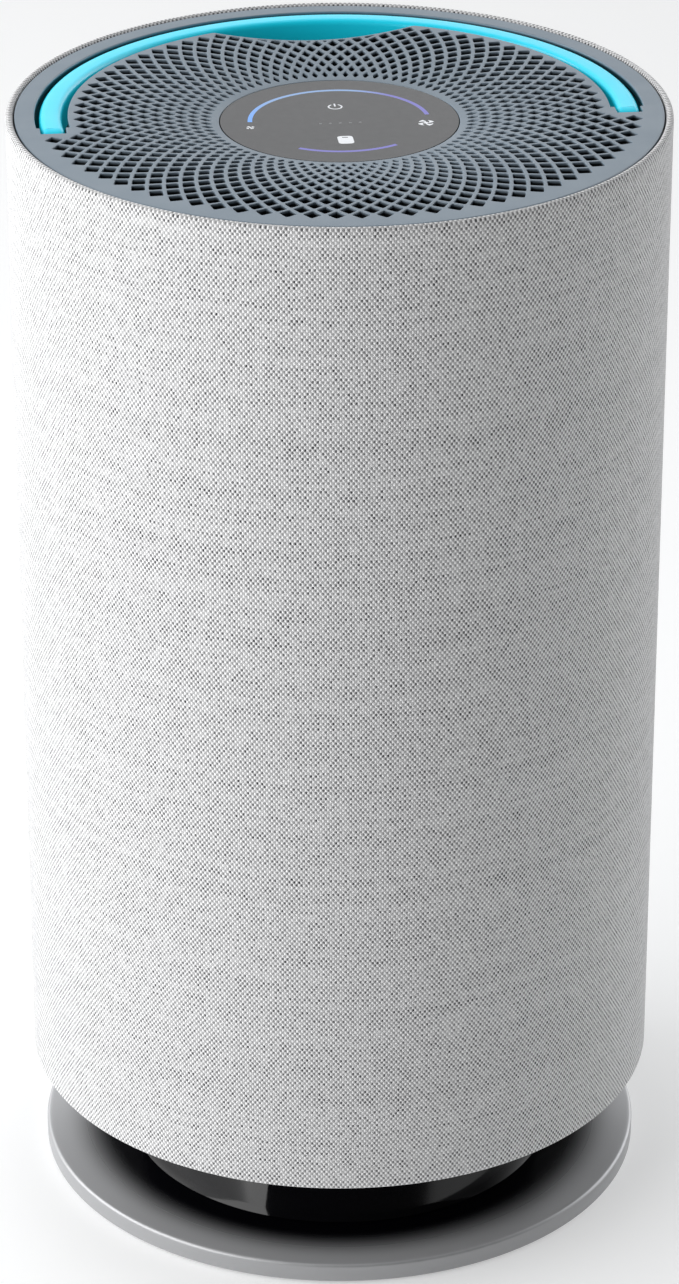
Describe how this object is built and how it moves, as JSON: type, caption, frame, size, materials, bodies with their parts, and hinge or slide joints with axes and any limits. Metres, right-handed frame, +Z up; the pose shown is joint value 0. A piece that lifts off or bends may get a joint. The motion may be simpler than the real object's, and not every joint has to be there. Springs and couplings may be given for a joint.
{
  "type": "air purifier",
  "caption": "Cylindrical floor-standing air purifier with a fabric sleeve, round pedestal base, dished lattice outlet, fold-up bail handle and round touch display.",
  "frame": {"origin": "on the floor, under the centre of the body", "axes": "+Z up, front (the side with the longest stretch of grille) towards -Y, power inlet and finger recess towards +Y"},
  "size_m": [0.268, 0.268, 0.476],
  "materials": {
    "rubber": "soft, matt",
    "grey_fabric": "plain weave, light grey threads with dark gaps",
    "slate_plastic": "fine matt moulded, slate blue-grey",
    "cyan_plastic": "satin, bright cyan",
    "gloss_black": "high gloss",
    "disc_metal": "satin metallic grey, fading to black towards the pedestal",
    "black_plastic": "fine matt moulded",
    "socket_plastic": "matt",
    "cage_plastic": "plain moulded",
    "cap_plastic": "plain moulded",
    "filter_paper": "pleated glass-fibre paper",
    "carbon_mesh": "carbon granules in a mesh sleeve",
    "seal_foam": "closed-cell foam",
    "tab_fabric": "woven ribbon",
    "housing_plastic": "plain moulded",
    "impeller_plastic": "plain moulded",
    "diffuser_plastic": "plain moulded",
    "steel": "bright zinc-plated",
    "motor_metal": "pressed steel plate",
    "winding_copper": "enamelled copper windings on a laminated core",
    "circuit_board": "green solder mask",
    "lead_black": "PVC sheath",
    "lead_red": "PVC sheath",
    "lead_white": "PVC sheath",
    "light_guide": "frosted clear",
    "smoked_lens": "smooth smoked grey",
    "speed_glow": "lit ring, blue to violet",
    "filter_glow": "lit ring, violet",
    "white_print": "lit white symbols"
  },
  "bodies": {
    "base": {"foot_pads": "rubber", "base_underplate": "black_plastic", "base_disc": "disc_metal", "pedestal": "gloss_black", "base_screws": "steel", "filter_door": "black_plastic"},
    "body": {"bottom_ring": "black_plastic", "cage_screws": "steel", "outer_cage": "cage_plastic", "fabric_sleeve": "grey_fabric", "inlet_bezel": "black_plastic", "power_inlet": "socket_plastic", "inlet_contacts": "steel", "filter_bottom_cap": "cap_plastic", "filter_media": "filter_paper", "carbon_core": "carbon_mesh", "filter_top_cap": "cap_plastic", "filter_seal": "seal_foam", "filter_pull_tab": "tab_fabric", "fan_housing": "housing_plastic", "inlet_cone": "housing_plastic", "motor_stator": "winding_copper", "motor_base": "motor_metal", "shaft_bearings": "steel", "motor_screws": "steel", "diffuser": "diffuser_plastic", "control_board": "circuit_board", "board_screws": "steel", "board_cover": "housing_plastic", "mains_lead": "lead_black", "motor_lead": "lead_red", "display_lead": "lead_white", "upper_frame": "black_plastic", "finger_cup": "black_plastic", "frame_screws": "steel", "top_cover": "slate_plastic", "display_housing": "black_plastic", "touch_board": "circuit_board", "light_guides": "light_guide", "display_lens": "smoked_lens", "speed_light": "speed_glow", "filter_light": "filter_glow", "icon_inlays": "white_print", "handle_pin_left": "steel", "handle_pin_right": "steel"},
    "fan": {"impeller": "impeller_plastic", "rotor_cup": "steel", "motor_shaft": "steel"},
    "grip": {"handle": "cyan_plastic"}
  },
  "joints": [
    {"name": "base_twist", "type": "hinge", "parent": "base", "child": "body", "pos_m": [0, 0, 0.058], "axis": [0, 0, 1], "range_deg": [0, 20]},
    {"name": "impeller_spin", "type": "hinge", "parent": "body", "child": "fan", "pos_m": [0, 0, 0.354], "axis": [0, 0, 1], "continuous": true},
    {"name": "handle_lift", "type": "hinge", "parent": "body", "child": "grip", "pos_m": [0, -0.0096, 0.4699], "axis": [1, 0, 0], "range_deg": [0, 90]}
  ]
}
